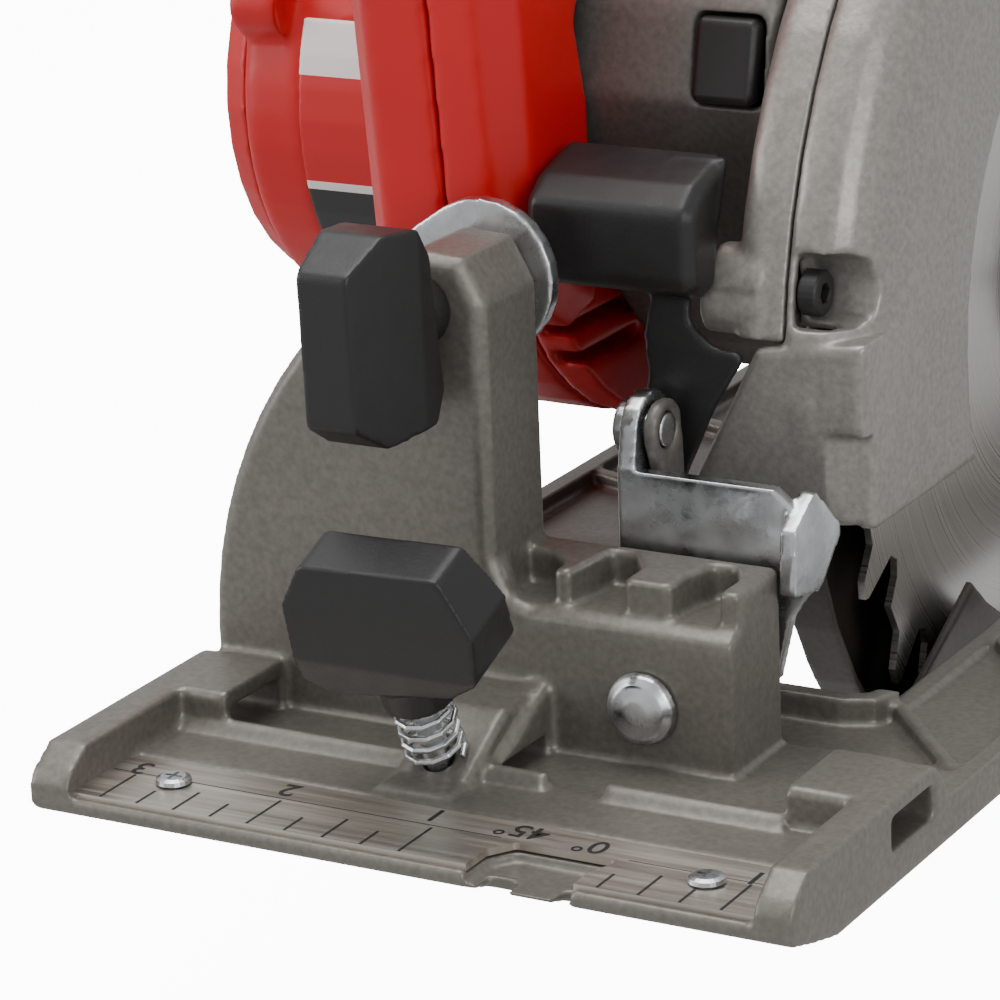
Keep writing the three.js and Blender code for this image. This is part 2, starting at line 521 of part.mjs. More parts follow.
// ---------------------------------------------------------------- blade, arbor and lower guard
function sawBlade() {
  const step = 360 / BLADE_TEETH;
  const toothAngle = 206; // one tooth stands here, in degrees about the arbor from +Y
  const rim = [];
  for (let k = 0; k < BLADE_TEETH; k += 1) {
    const at = toothAngle - k * step;
    const point = (radius, back) => [
      ARBOR_Y + radius * Math.cos(turn(at - back)), ARBOR_Z + radius * Math.sin(turn(at - back))];
    rim.push(point(72, 0.2), point(BLADE_R - 1, 0), point(BLADE_R, 0.4), point(BLADE_R - 0.9, 2.4), point(76.6, 5),
      point(76.4, 9.5), point(72, 11.4), point(70.6, 13.4));
  }
  const slots = Array.from({ length: 4 }, (_, k) => {
    const at = turn(toothAngle - 13.4 - 90 * k);
    const along = (radius, side) => [
      ARBOR_Y + radius * Math.cos(at) - side * Math.sin(at), ARBOR_Z + radius * Math.sin(at) + side * Math.cos(at)];
    const end = along(61, 0);
    return join(alongX(outline([along(61, -0.7), along(74, -0.7), along(74, 0.7), along(61, 0.7)]), -2, 2),
      barX(end[0], end[1], 2.3, -2, 2, 14));
  });
  return cut(alongX(outline(rim), -0.6, 0.6), ...slots, barX(ARBOR_Y, ARBOR_Z, 8.05, -2, 2, 32));
}

const atArbor = (profile, segments = 24) => turnedX(profile, ARBOR_Y, ARBOR_Z, segments);

function arborShaft() {
  const shaft = atArbor([[0, -46.5], [4, -46.5], [4, -40.6], [6, -40.6], [6, -12.2], [7.8, -12], [7.8, 2.6], [0, 2.6]]);
  return cut(shaft, barX(ARBOR_Y, ARBOR_Z, 3.3, -10, 5, 16));
}
const innerFlange = () => atArbor([[8.1, -4.2], [16, -4.2], [18, -3.4], [18, -0.95], [8.1, -0.95], [8.1, -4.2]]);
const outerFlange = () => atArbor([[4.2, 3], [8.2, 3], [8.2, 0.95], [18, 0.95], [18, 2.6], [15, 4.6], [4.2, 4.6], [4.2, 3]]);
function bladeBolt() {
  const bolt = atArbor([[0, -8], [3, -8], [3, 4.9], [9.5, 4.9], [9.5, 6], [6.4, 6.2], [6.4, 10.4], [0, 10.4]]);
  return bolt.intersect(join(barX(ARBOR_Y, ARBOR_Z, 12, -10, 6.1), barX(ARBOR_Y, ARBOR_Z, 6.4, 6, 11, 6)));
}

// Spur gear outline with straight-sided teeth.
function gearOutline(teeth, centreY, centreZ, firstTooth) {
  const pitch = (teeth * GEAR_MODULE) / 2;
  const step = 360 / teeth;
  const points = [];
  for (let k = 0; k < teeth; k += 1) {
    const at = firstTooth + k * step;
    for (const [radius, share] of [[pitch - 1.05, -0.3], [pitch + 0.7, -0.11], [pitch + 0.7, 0.11], [pitch - 1.05, 0.3]]) {
      const angle = turn(at + share * step);
      points.push([centreY + radius * Math.cos(angle), centreZ + radius * Math.sin(angle)]);
    }
  }
  return outline(points);
}
const MESH_ANGLE = THREE.MathUtils.radToDeg(Math.atan2(MOTOR_Z - ARBOR_Z, MOTOR_Y - ARBOR_Y));
function arborGear() {
  const wheel = alongX(gearOutline(GEAR_TEETH, ARBOR_Y, ARBOR_Z, MESH_ANGLE), -34.6, -28.8);
  return cut(wheel, barX(ARBOR_Y, ARBOR_Z, 6.15, -40, -20));
}

function lowerGuard() {
  const wall = (x0, x1, inner) => alongX(outline([
    ...arc(ARBOR_Y, ARBOR_Z, LOWER_R, 190, 344, 20), ...arc(ARBOR_Y, ARBOR_Z, inner, 344, 190, 14)]), x0, x1);
  const rim = (x0, x1, from, to) => alongX(outline([
    ...arc(ARBOR_Y, ARBOR_Z, LOWER_R, from, to, 18), ...arc(ARBOR_Y, ARBOR_Z, LOWER_R - 1.6, to, from, 18)]), x0, x1);
  const disc = cut(barX(ARBOR_Y, ARBOR_Z, 30, -10.4, -8.8, 40), barX(ARBOR_Y, ARBOR_Z, 21.2, -12, 0, 40));
  return join(wall(-10.4, -8.8, 26), disc, rim(-10.4, -2.8, 190, 344), rim(-3, 4.8, 219, 344),
    alongX(outline([
      ...arc(ARBOR_Y, ARBOR_Z, LOWER_R, 219, 344, 18), ...arc(ARBOR_Y, ARBOR_Z, 60, 338, 225, 14)]), 3.4, 4.8));
}

// Thumb lever of the lower guard: a broad block in front of the gear case and an arm below it.
const LEVER_R = 94.4;
function guardLever() {
  const arm = cut(barX(ARBOR_Y, ARBOR_Z, LEVER_R + 1.5, -28, -8.8, 64), barX(ARBOR_Y, ARBOR_Z, LEVER_R, -30, 0, 64))
    .intersect(alongY(outline([
      [-27.4, 37.3, 1], [-20.7, 37.3, 1], [-14.4, 50.6, 6], [-9, 59.8, 1], [-14.5, 60.4, 3], [-18.7, 63.5, 3], [-18.7, 74, 4],
      [-15, 79], [-15, 88], [-24, 88], [-25, 70, 6], [-26.2, 61, 2], [-25.4, 56, 2],
    ]), 60, 100));
  const thumbBlock = alongX(outline([
    [75.2, 69.4, 3], [74.8, 82, 2.5], [79, 85.6, 1.5], [88.6, 88.4], [86.2, 70.6], [81.6, 67.4, 2],
  ]), -43.7, -15.2, 1.6);
  return join(arm, cut(thumbBlock, barX(ARBOR_Y, ARBOR_Z, LEVER_R, -50, 0, 64)));
}

// ---------------------------------------------------------------- gear case and drive
const GEAR_CASE_SIDE = outline([
  [103, 80, 3], [99, 93, 4], [101, 107, 6], [110, 119, 6], ...arc(ARBOR_Y, ARBOR_Z, 88, 122, 80, 6), [199, 116, 6],
  [201.5, 90, 4], [201.5, 62, 5], [188, 40, 6], [150, 35, 8], [122, 48, 5], [107, 64, 4],
]);

function gearCase() {
  const lug = outline([
    ...arc(DEPTH_Y, DEPTH_Z, 4.9, 20, 215, 9), [73.5, 33, 3], [80, 27.5, 4], [118, 30, 3], [134, 40], [134, 60],
    [116, 60], [108.5, 36.8, 2], [84, 35.8, 3], [78.3, 38.5, 2],
  ]);
  const whole = join(
    alongX(GEAR_CASE_SIDE, -49.7, -13.3, 1.5),
    barX(ARBOR_Y, ARBOR_Z, 30, -36.1, -13.3, 40),
    atArbor([[0, -14], [20.4, -14], [20.4, -4.6], [13.3, -4.6], [13.3, -12.3], [0, -12.3]], 36),
    alongX(lug, -20.9, -18.4));
  return cut(whole,
    barX(ARBOR_Y, ARBOR_Z, 27.6, -34.9, -28.4, 40), barX(MOTOR_Y, MOTOR_Z, 9.6, -55, -28.4, 24),
    barX(ARBOR_Y, ARBOR_Z, 6.6, -40, 0, 24), barX(ARBOR_Y, ARBOR_Z, 8.3, -55, -38.5, 28),
    barX(MOTOR_Y, MOTOR_Z, 12.5, -55, -46.5, 28), barX(DEPTH_Y, DEPTH_Z, 2.9, -25, -15, 16),
    barX(LOCK_Y, LOCK_Z, 3.2, -30, 0, 16),
    block(-26.7, -15.1, 90, 106, 92.8, 106.8), barY(-20.6, 99.8, 2.3, 90, 125, 16));
}

function bearing(x0, x1, y, z, inner, outer) {
  const chamfer = 0.5;
  return turnedX([
    [inner, x0 + chamfer], [inner + chamfer, x0], [outer - chamfer, x0], [outer, x0 + chamfer],
    [outer, x1 - chamfer], [outer - chamfer, x1], [inner + chamfer, x1], [inner, x1 - chamfer], [inner, x0 + chamfer],
  ], y, z, 20);
}

// Rotor, motor shaft and the pinion cut on its end, in one piece.
function armature() {
  const shaft = turnedX([
    [0, -119], [3, -119], [3, -108], [19, -107], [19, -72], [3.4, -71], [3.4, -35.8], [0, -35.8],
  ], MOTOR_Y, MOTOR_Z, 32);
  const halfStep = 180 / PINION_TEETH;
  const pinion = gearOutline(PINION_TEETH, MOTOR_Y, MOTOR_Z, MESH_ANGLE + 180 + halfStep);
  return join(shaft, alongX(pinion, -36, -28.7));
}

function stator() {
  const ring = turnedX([[19.6, -106], [29, -106], [30, -105], [30, -75], [29, -74], [19.6, -74], [19.6, -106]],
    MOTOR_Y, MOTOR_Z, 28);
  const windows = Array.from({ length: 6 }, (_, k) => {
    const at = turn(60 * k);
    return barX(MOTOR_Y + 24 * Math.cos(at), MOTOR_Z + 24 * Math.sin(at), 2.4, -110, -70, 8);
  });
  return cut(ring, ...windows);
}

function fan() {
  const hub = cut(barX(MOTOR_Y, MOTOR_Z, 8, -68, -56), barX(MOTOR_Y, MOTOR_Z, 3.6, -80, -40));
  const disc = cut(barX(MOTOR_Y, MOTOR_Z, 28, -58, -56.4, 36), barX(MOTOR_Y, MOTOR_Z, 7, -80, -40));
  const blade = block(-67, -57, 7, 27.5, -0.7, 0.7);
  const blades = Array.from({ length: 9 }, (_, k) => placed(blade, new THREE.Matrix4()
    .makeTranslation(0, MOTOR_Y, MOTOR_Z)
    .multiply(new THREE.Matrix4().makeRotationX(turn(40 * k)))));
  return join(hub, disc, ...blades);
}

// Push button on the front of the gear case that holds the arbor still.
function lockButton() {
  const cap = alongX(outline([[96.5, 93.3, 1.2], [99.4, 106.3, 1.2], [103.4, 106.3], [103.4, 93.3]]), -26.3, -15.5, 1);
  return join(cap, barY(-20.6, 99.8, 1.9, 99, 119, 16));
}

// ---------------------------------------------------------------- battery
const BATTERY_TILT = 11.6; // degrees that the battery's slide rises towards the back
const BATTERY_PLACE = new THREE.Matrix4().makeTranslation(0, 204, 95)
  .multiply(new THREE.Matrix4().makeRotationX(turn(BATTERY_TILT)));

// The rail on the battery, or with a clearance the slot that it runs in.
function slideRail(clear, back) {
  return placed(join(
    block(-64 - clear, -52 + clear, 8 - clear, back, -0.5, 4 + clear),
    block(-67 - clear, -49 + clear, 8 - clear, back, 4 - clear, 7.4 + clear),
  ), BATTERY_PLACE);
}

function batteryPack() {
  const body = alongX(outline([
    [2, -46, 6], [94, -46, 8], [95, -8, 5], [90, 0.4, 4], [3, 0.4, 4], [0.5, -10, 5],
  ]), -96, -24, 3);
  const ribs = [20, 34, 48, 62].map((y) => block(-100, -94.8, y, y + 3, -40, -12));
  const latchRoom = [[-100, -90.6], [-29.4, -20]].map(([x0, x1]) => block(x0, x1, 70, 87, -18, -4));
  return join(placed(cut(body, ...latchRoom, ...ribs), BATTERY_PLACE), slideRail(0, 84));
}

const batteryLatch = (x0, x1) => placed(alongX(rectangle(70.4, 86.6, -17.6, -4.4, 2), x0, x1, 0.5), BATTERY_PLACE);

// ---------------------------------------------------------------- handle halves and motor housing
const HANDLE_SIDE = outline([
  [77.4, 63.5, 7], [74.6, 90], [71.6, 118, 20], [73, 152, 12], [84, 163, 8], [100, 165, 10], [112, 160, 8], [119, 147, 8],
  [127, 131, 12], [142, 136, 10], [160, 152, 20], [186, 174, 24], [216, 187, 30], [252, 188, 24], [276, 178, 16],
  [292, 160, 16], [301, 134, 9], [297.4, 116, 6], [203, 96.6, 3], [208, 80, 8], [196, 60, 10],
  ...arc(145, 82, 53, 328, 212, 12), [86, 62, 6],
]);
const HAND_HOLE = outline([
  [211, 113, 6], [281, 127.5, 6], [283.5, 141, 8], [271, 158, 14], [245, 168, 16], [216, 162, 14], [196, 146, 8],
  [193, 122, 6],
]);
const POMMEL_ROOM = outline([[81, 72, 4], [78, 118, 10], [80, 148, 8], [98, 157, 8], [110, 148, 6], [112, 112], [104, 76]]);
const GRIP_ROOM = outline([[186, 112], [214, 108], [192, 124], [194, 148], [214, 165], [244, 171], [262, 169], [252, 181],
  [216, 180], [196, 168], [182, 140]]);
const TRIGGER_ROOM = outline([[196, 141], [203, 131], [222, 136], [232, 170], [206, 168], [194, 152]]);

// One half of the handle: from the seam at x0 out to the grip's side at x1.
function handleHalf(x0, x1) {
  const side = Math.sign(x1 - x0);
  const inner = x1 - 3 * side;
  const [low, high] = side > 0 ? [x0 - 10, x1] : [x1, x0 + 10];
  const [a, b] = side > 0 ? [x0 - 1, inner] : [inner, x0 + 1];
  const foot = placed(alongX(rectangle(0.8, 95.4, 0.9, 10, 4), -94, -26, 3), BATTERY_PLACE);
  const keep = side > 0 ? block(x0, 20, 60, 310, 20, 200) : block(-200, x0, 60, 310, 20, 200);
  const room = join(alongX(POMMEL_ROOM, a, b), barX(MOTOR_Y, MOTOR_Z, 31, a, b, 36), alongX(GRIP_ROOM, a, b));
  return cut(join(cut(alongX(HANDLE_SIDE, low, high, 5), alongX(HAND_HOLE, low - 10, high + 10)), foot).intersect(keep),
    room, slideRail(0.35, 110), alongX(TRIGGER_ROOM, -63.6, -52.4), barX(197, 162, 4.3, -100, -30, 20));
}

function housingRight() {
  const caseRoom = alongX(outline([
    [99.4, 58], [98.4, 92], [95, 106, 4], [107, 122, 5], ...arc(ARBOR_Y, ARBOR_Z, 90, 122, 80, 6), [200.3, 118.5],
    [202.4, 90], [202.4, 20], [99.4, 20],
  ]), -50, -30);
  const vents = [46.5, 52.5].map((z) => block(-56, -47, 96, 124, z, z + 2.4));
  return cut(handleHalf(SEAM_X + 0.15, GRIP_RIGHT), caseRoom, ...vents);
}

// Left half with the fan housing and the motor can.
function housingLeft() {
  const fanHousing = turnedX([[0, -80.6], [48, -80.6], [51.6, -79.4], [53, -76.6], [53, -68], [0, -68]], 145, 82, 48);
  const can = turnedX([
    [0, -121.2], [40, -121.2], [41.5, -119.5], [42.5, -96], [42.2, -84], [41, -74], [0, -74],
  ], MOTOR_Y, MOTOR_Z, 48);
  const bosses = [154, 262].map((degrees) => {
    const at = turn(degrees);
    return barX(MOTOR_Y + 42 * Math.cos(at), MOTOR_Z + 42 * Math.sin(at), 6, -121.2, -112, 12);
  });
  const labelSeat = cut(barX(MOTOR_Y, MOTOR_Z, 44, -112, -81, 48), barX(MOTOR_Y, MOTOR_Z, 41.2, -113, -80, 48))
    .intersect(block(-109.4, -82.6, 100, 131, 58, 97));
  return cut(join(handleHalf(SEAM_X - 0.15, GRIP_LEFT), fanHousing, can, ...bosses),
    barX(MOTOR_Y, MOTOR_Z, 30.4, -113.6, -50, 36), barX(MOTOR_Y, MOTOR_Z, 8.4, -130, -113, 24), labelSeat);
}

function labelPanel() {
  return cut(barX(MOTOR_Y, MOTOR_Z, 42.6, -109, -83, 48), barX(MOTOR_Y, MOTOR_Z, 41.5, -113, -80, 48))
    .intersect(block(-111, -80, 100, 130.6, 58.4, 96.6));
}

function motorEndCap() {
  const cap = turnedX([[0, -128.4], [33, -128.4], [37, -126.8], [39.4, -121.5], [0, -121.5]], MOTOR_Y, MOTOR_Z, 32);
  const vents = Array.from({ length: 8 }, (_, k) => {
    const at = turn(45 * k + 22.5);
    return barX(MOTOR_Y + 22 * Math.cos(at), MOTOR_Z + 22 * Math.sin(at), 3.2, -130, -120, 8);
  });
  return cut(cap, ...vents);
}

function trigger() {
  return alongX(outline([
    [206.5, 133.5, 1.5], [218.5, 137, 3], [217, 148, 8], [222, 161, 3], [214, 163.5, 2], [199, 150.5, 3],
  ]), -63.2, -52.8, 0.8);
}

const lockOffButton = () => join(barX(197, 162, 3.9, -75.6, -42.8, 20), barX(197, 162, 3.2, -77, -41.4, 20));

// ---------------------------------------------------------------- depth clamp and guard spring
const depthBolt = () => turnedX([[0, -23.6], [2.8, -23.6], [2.8, -10.9], [0, -10.9]], LOCK_Y, LOCK_Z, 20);

function depthLever() {
  const hub = barX(LOCK_Y, LOCK_Z, 7, -22.6, -17.1, 28);
  const arm = alongX(outline([
    [LOCK_Y, LOCK_Z - 6.4, 1], [LOCK_Y + 34, LOCK_Z - 17, 4], [LOCK_Y + 36, LOCK_Z - 9, 4], [LOCK_Y + 2, LOCK_Z + 6.6, 1],
  ]), -22.6, -18.4, 1);
  return cut(join(hub, arm), barX(LOCK_Y, LOCK_Z, 3.1, -30, -10));
}

// Torsion spring that closes the lower guard, round the gear case's nose.
function guardSpring() {
  class Coil extends THREE.Curve {
    getPoint(t, target = new THREE.Vector3()) {
      const angle = 2 * Math.PI * 2.4 * t;
      return target.set(-7.9 + 3.4 * t, ARBOR_Y + 22.6 * Math.cos(angle), ARBOR_Z + 22.6 * Math.sin(angle));
    }
  }
  return solid(new THREE.ExtrudeGeometry(circle(0, 0, 0.6, 5), { extrudePath: new Coil(), steps: 44 }));
}

// ---------------------------------------------------------------- the assembly
piece('shoe', shoe(), CAST);
piece('scale_plate', scalePlate(), SCALE_STEEL);
piece('scale_screw_left', scaleScrew(-69.1, 9.2), ZINC);
piece('scale_screw_right', scaleScrew(19.4, 8.1), ZINC);
piece('fence_screw', fenceScrew(), ZINC);
piece('fence_spring', fenceSpring(), ZINC);
piece('fence_knob', placed(knob(13).translate(0, 0, 12.4), FENCE_PLACE), BLACK);
piece('bevel_pivot_rivet', bevelRivet(), ZINC);
piece('bevel_bolt', bevelBolt(), ZINC);
piece('bevel_knob', placed(knob(14), BEVEL_PLACE), BLACK);
piece('bevel_bracket', bevelBracket(), ZINC);
piece('rear_bracket', rearBracket(), ZINC);
piece('rear_pivot_pin', rearPivotPin(), ZINC);
piece('depth_pivot_pin', depthPivotPin(), ZINC);
piece('depth_bolt', depthBolt(), ZINC);
piece('depth_lever', depthLever(), BLACK);
piece('upper_guard', upperGuard(), GUARD_CAST);
piece('guard_cover', guardCover(), GUARD_CAST);
piece('guard_screw', guardScrew(), BLACK);
piece('lower_guard', lowerGuard(), DARK_STEEL);
piece('lower_guard_lever', guardLever(), BLACK);
piece('lower_guard_spring', guardSpring(), ZINC);
piece('saw_blade', sawBlade(), STEEL);
piece('arbor_shaft', arborShaft(), STEEL);
piece('arbor_gear', arborGear(), STEEL);
piece('inner_flange', innerFlange(), DARK_STEEL);
piece('outer_flange', outerFlange(), DARK_STEEL);
piece('blade_bolt', bladeBolt(), ZINC);
piece('arbor_bearing_inner', bearing(-47, -41.2, ARBOR_Y, ARBOR_Z, 4.2, 8.1), STEEL);
piece('arbor_bearing_outer', bearing(-12, -5.4, ARBOR_Y, ARBOR_Z, 8, 13.1), STEEL);
piece('gear_case', gearCase(), CAST);
piece('spindle_lock_button', lockButton(), BLACK);
piece('motor_armature', armature(), STEEL);
piece('motor_stator', stator(), COPPER);
piece('motor_fan', fan(), BLACK);
piece('motor_bearing_front', bearing(-51.6, -46.8, MOTOR_Y, MOTOR_Z, 3.6, 12.2), STEEL);
piece('motor_bearing_rear', bearing(-118.4, -114.4, MOTOR_Y, MOTOR_Z, 3.2, 8.1), STEEL);
piece('housing_left', housingLeft(), RED);
piece('housing_right', housingRight(), RED);
piece('motor_end_cap', motorEndCap(), RED);
piece('label_panel', labelPanel(), LABEL);
piece('trigger', trigger(), BLACK);
piece('lock_off_button', lockOffButton(), BLACK);
piece('battery_pack', batteryPack(), BLACK);
piece('battery_latch_left', batteryLatch(-97.4, -92.8), RED);
piece('battery_latch_right', batteryLatch(-27.2, -22.6), RED);

saw.position.y = -ORIGIN_BACK;

export default saw;
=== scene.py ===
import math
import bpy
import bmesh
from mathutils import Matrix, Vector


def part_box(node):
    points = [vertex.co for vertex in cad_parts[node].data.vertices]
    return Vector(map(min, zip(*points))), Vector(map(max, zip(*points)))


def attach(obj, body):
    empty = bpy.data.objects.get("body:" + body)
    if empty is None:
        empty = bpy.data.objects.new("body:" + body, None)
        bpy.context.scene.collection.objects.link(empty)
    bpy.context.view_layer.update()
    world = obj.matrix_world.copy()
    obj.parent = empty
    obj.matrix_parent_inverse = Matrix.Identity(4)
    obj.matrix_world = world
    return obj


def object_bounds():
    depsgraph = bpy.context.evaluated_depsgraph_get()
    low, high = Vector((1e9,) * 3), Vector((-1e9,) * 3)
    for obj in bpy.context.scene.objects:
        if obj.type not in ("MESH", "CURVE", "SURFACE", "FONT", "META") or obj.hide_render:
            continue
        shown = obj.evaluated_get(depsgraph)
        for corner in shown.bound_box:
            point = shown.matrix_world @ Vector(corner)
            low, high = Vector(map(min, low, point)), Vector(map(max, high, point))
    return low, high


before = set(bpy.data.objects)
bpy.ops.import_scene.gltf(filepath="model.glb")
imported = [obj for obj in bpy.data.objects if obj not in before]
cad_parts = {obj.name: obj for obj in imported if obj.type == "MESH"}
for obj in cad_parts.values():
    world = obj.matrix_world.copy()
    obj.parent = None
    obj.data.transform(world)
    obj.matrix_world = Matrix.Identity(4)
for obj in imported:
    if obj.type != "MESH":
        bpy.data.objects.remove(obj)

CAD_LOW, CAD_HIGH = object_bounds()
SHAFT_LOW, SHAFT_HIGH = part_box("arbor_shaft")
PANEL_LOW, PANEL_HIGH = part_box("label_panel")
PLATE_LOW, PLATE_HIGH = (corner * 1000 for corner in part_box("scale_plate"))
SCALE_TOP = PLATE_HIGH.z
ORIGIN_BACK = 30  # the sole's origin lies this far behind the scale's front edge


def at(x, y, z):
    """Millimetres from the scale's front edge to metres in the row frame."""
    return Vector((x, y - ORIGIN_BACK, z)) / 1000


# ---------------------------------------------------------------- materials
class Shader:
    """A principled material with noise layers in object coordinates.

    Noise scales are per metre, and bump heights are in metres.
    """

    def __init__(self, name, colour, metallic, roughness):
        self.material = bpy.data.materials.new(name)
        self.material.use_nodes = True
        self.tree = self.material.node_tree
        self.surface = self.tree.nodes["Principled BSDF"]
        self.place = self.tree.nodes.new("ShaderNodeTexCoord").outputs["Object"]
        self.colour = colour
        self.surface.inputs["Base Color"].default_value = (*colour, 1)
        self.surface.inputs["Metallic"].default_value = metallic
        self.surface.inputs["Roughness"].default_value = roughness
        self.normal = None

    def node(self, kind, **values):
        made = self.tree.nodes.new(kind)
        for key, value in values.items():
            setattr(made, key, value)
        return made

    def stretched(self, stretch):
        mapping = self.node("ShaderNodeMapping")
        mapping.inputs["Scale"].default_value = stretch
        self.tree.links.new(self.place, mapping.inputs["Vector"])
        return mapping.outputs["Vector"]

    def noise(self, scale, detail=4.0, stretch=(1, 1, 1), source=None):
        texture = self.node("ShaderNodeTexNoise")
        texture.inputs["Scale"].default_value = scale
        texture.inputs["Detail"].default_value = detail
        self.tree.links.new(source or self.stretched(stretch), texture.inputs["Vector"])
        return texture.outputs["Fac"]

    def cells(self, scale):
        texture = self.node("ShaderNodeTexVoronoi")
        texture.inputs["Scale"].default_value = scale
        self.tree.links.new(self.place, texture.inputs["Vector"])
        return texture.outputs["Distance"]

    def spread(self, source, low, high):
        ramp = self.node("ShaderNodeMapRange")
        ramp.inputs["From Min"].default_value = 0.3
        ramp.inputs["From Max"].default_value = 0.7
        ramp.inputs["To Min"].default_value = low
        ramp.inputs["To Max"].default_value = high
        self.tree.links.new(source, ramp.inputs["Value"])
        return ramp.outputs["Result"]

    def tint(self, source, dark, light):
        """Base colour between two multiples of the main colour."""
        mix = self.node("ShaderNodeMix", data_type="RGBA")
        mix.inputs["A"].default_value = (*[c * dark for c in self.colour], 1)
        mix.inputs["B"].default_value = (*[min(1, c * light) for c in self.colour], 1)
        self.tree.links.new(self.spread(source, 0, 1), mix.inputs["Factor"])
        self.tree.links.new(mix.outputs["Result"], self.surface.inputs["Base Color"])
        return self

    def gloss(self, source, low, high):
        self.tree.links.new(self.spread(source, low, high), self.surface.inputs["Roughness"])
        return self

    def bump(self, source, height, strength=1.0):
        made = self.node("ShaderNodeBump")
        made.inputs["Distance"].default_value = height
        made.inputs["Strength"].default_value = strength
        self.tree.links.new(source, made.inputs["Height"])
        if self.normal:
            self.tree.links.new(self.normal, made.inputs["Normal"])
        self.normal = made.outputs["Normal"]
        self.tree.links.new(self.normal, self.surface.inputs["Normal"])
        return self


def casting(name, colour, metallic, roughness, grain):
    """Painted or bead-blasted casting: fine grain over a faint unevenness."""
    made = Shader(name, colour, metallic, roughness)
    made.tint(made.noise(900, 3), 0.86, 1.14)
    made.gloss(made.noise(60, 5), roughness - 0.04, roughness + 0.06)
    made.bump(made.noise(1500, 2), 0.00005 * grain, 0.6)
    return made.bump(made.noise(260, 3), 0.00008 * grain, 0.25).material


def plastic(name, colour, roughness, grain):
    """Moulded plastic with a fine spark-eroded texture."""
    made = Shader(name, colour, 0.0, roughness)
    made.tint(made.noise(40, 3), 0.94, 1.05)
    made.gloss(made.noise(300, 4), roughness - 0.03, roughness + 0.05)
    return made.bump(made.noise(1800, 2), 0.00004 * grain, 0.5).material


def plated(name, colour, roughness):
    """Zinc plate: blotchy, with a slightly uneven shine."""
    made = Shader(name, colour, 1.0, roughness)
    made.tint(made.noise(140, 6), 0.62, 1.1)
    made.gloss(made.noise(220, 5), roughness - 0.08, roughness + 0.16)
    return made.bump(made.noise(180, 5), 0.00012, 0.4).bump(made.cells(900), 0.00003, 0.4).material


def brushed(name, colour, roughness, stretch):
    """Bare metal with fine marks, drawn out along the axis whose stretch is small."""
    made = Shader(name, colour, 1.0, roughness)
    made.tint(made.noise(500, 4, stretch), 0.72, 1.16)
    made.gloss(made.noise(700, 3, stretch), roughness - 0.08, roughness + 0.12)
    return made.bump(made.noise(900, 2, stretch), 0.00003, 0.5).material


def ground_disc(name, colour, roughness, centre):
    """Steel ground in rings about an axis along X."""
    made = Shader(name, colour, 1.0, roughness)
    offset = made.node("ShaderNodeVectorMath", operation="SUBTRACT")
    offset.inputs[1].default_value = centre
    made.tree.links.new(made.place, offset.inputs[0])
    flat = made.node("ShaderNodeVectorMath", operation="MULTIPLY")
    flat.inputs[1].default_value = (0, 1, 1)
    made.tree.links.new(offset.outputs[0], flat.inputs[0])
    radius = made.node("ShaderNodeVectorMath", operation="LENGTH")
    made.tree.links.new(flat.outputs[0], radius.inputs[0])
    ring = made.node("ShaderNodeCombineXYZ")
    made.tree.links.new(radius.outputs["Value"], ring.inputs["X"])
    rings = made.noise(2600, 4, source=ring.outputs["Vector"])
    made.tint(rings, 0.8, 1.12)
    made.gloss(rings, roughness - 0.07, roughness + 0.1)
    return made.bump(rings, 0.00002, 0.5).material


ARBOR = (SHAFT_LOW + SHAFT_HIGH) / 2
CAST = casting("cast_body", (0.185, 0.17, 0.15), 0.5, 0.4, 1.0)
CASE = casting("cast_case", (0.165, 0.155, 0.142), 0.5, 0.45, 1.0)
GUARD = casting("cast_guard", (0.31, 0.295, 0.27), 0.55, 0.38, 1.0)
RED = plastic("red_shell", (0.55, 0.0005, 0.002), 0.4, 0.6)
BLACK = plastic("black_grip", (0.012, 0.011, 0.011), 0.42, 1.4)
BLACK_SMOOTH = plastic("black_smooth", (0.016, 0.015, 0.015), 0.5, 1.0)
ZINC = plated("zinc", (0.72, 0.74, 0.76), 0.24)
STEEL = brushed("steel", (0.5, 0.49, 0.47), 0.3, (1, 1, 1))
BLADE = ground_disc("blade_steel", (0.62, 0.6, 0.57), 0.3, ARBOR)
DARK = casting("dark_coat", (0.05, 0.042, 0.036), 0.35, 0.4, 0.6)
SCALE = brushed("scale_plate", (0.66, 0.61, 0.55), 0.36, (0.04, 1, 1))
COPPER = brushed("copper", (0.6, 0.24, 0.1), 0.35, (1, 1, 1))
MARKS = plastic("scale_marks", (0.01, 0.009, 0.008), 0.6, 0.5)


def label_material():
    """Pale panel with a red field and a dark band, by height."""
    white, red, black = (0.8, 0.79, 0.77), (0.55, 0.006, 0.008), (0.02, 0.02, 0.02)
    made = Shader("label", white, 0.0, 0.38)
    split = made.node("ShaderNodeSeparateXYZ")
    made.tree.links.new(made.place, split.inputs[0])
    ramp = made.node("ShaderNodeValToRGB")
    ramp.color_ramp.interpolation = "CONSTANT"
    # each field: the share of the panel's height where it starts, and its colour
    stops = [(0.0, white), (0.03, black), (0.25, white), (0.286, red), (0.762, white)]
    while len(ramp.color_ramp.elements) < len(stops):
        ramp.color_ramp.elements.new(0.5)
    for element, (position, colour) in zip(ramp.color_ramp.elements, stops):
        element.position = position
        element.color = (*colour, 1)
    height = made.node("ShaderNodeMapRange")
    height.inputs["From Min"].default_value = PANEL_LOW.z
    height.inputs["From Max"].default_value = PANEL_HIGH.z
    made.tree.links.new(split.outputs["Z"], height.inputs["Value"])
    made.tree.links.new(height.outputs["Result"], ramp.inputs["Fac"])
    made.tree.links.new(ramp.outputs["Color"], made.surface.inputs["Base Color"])
    return made.bump(made.noise(600, 3), 0.00002, 0.4).material


LABEL = label_material()

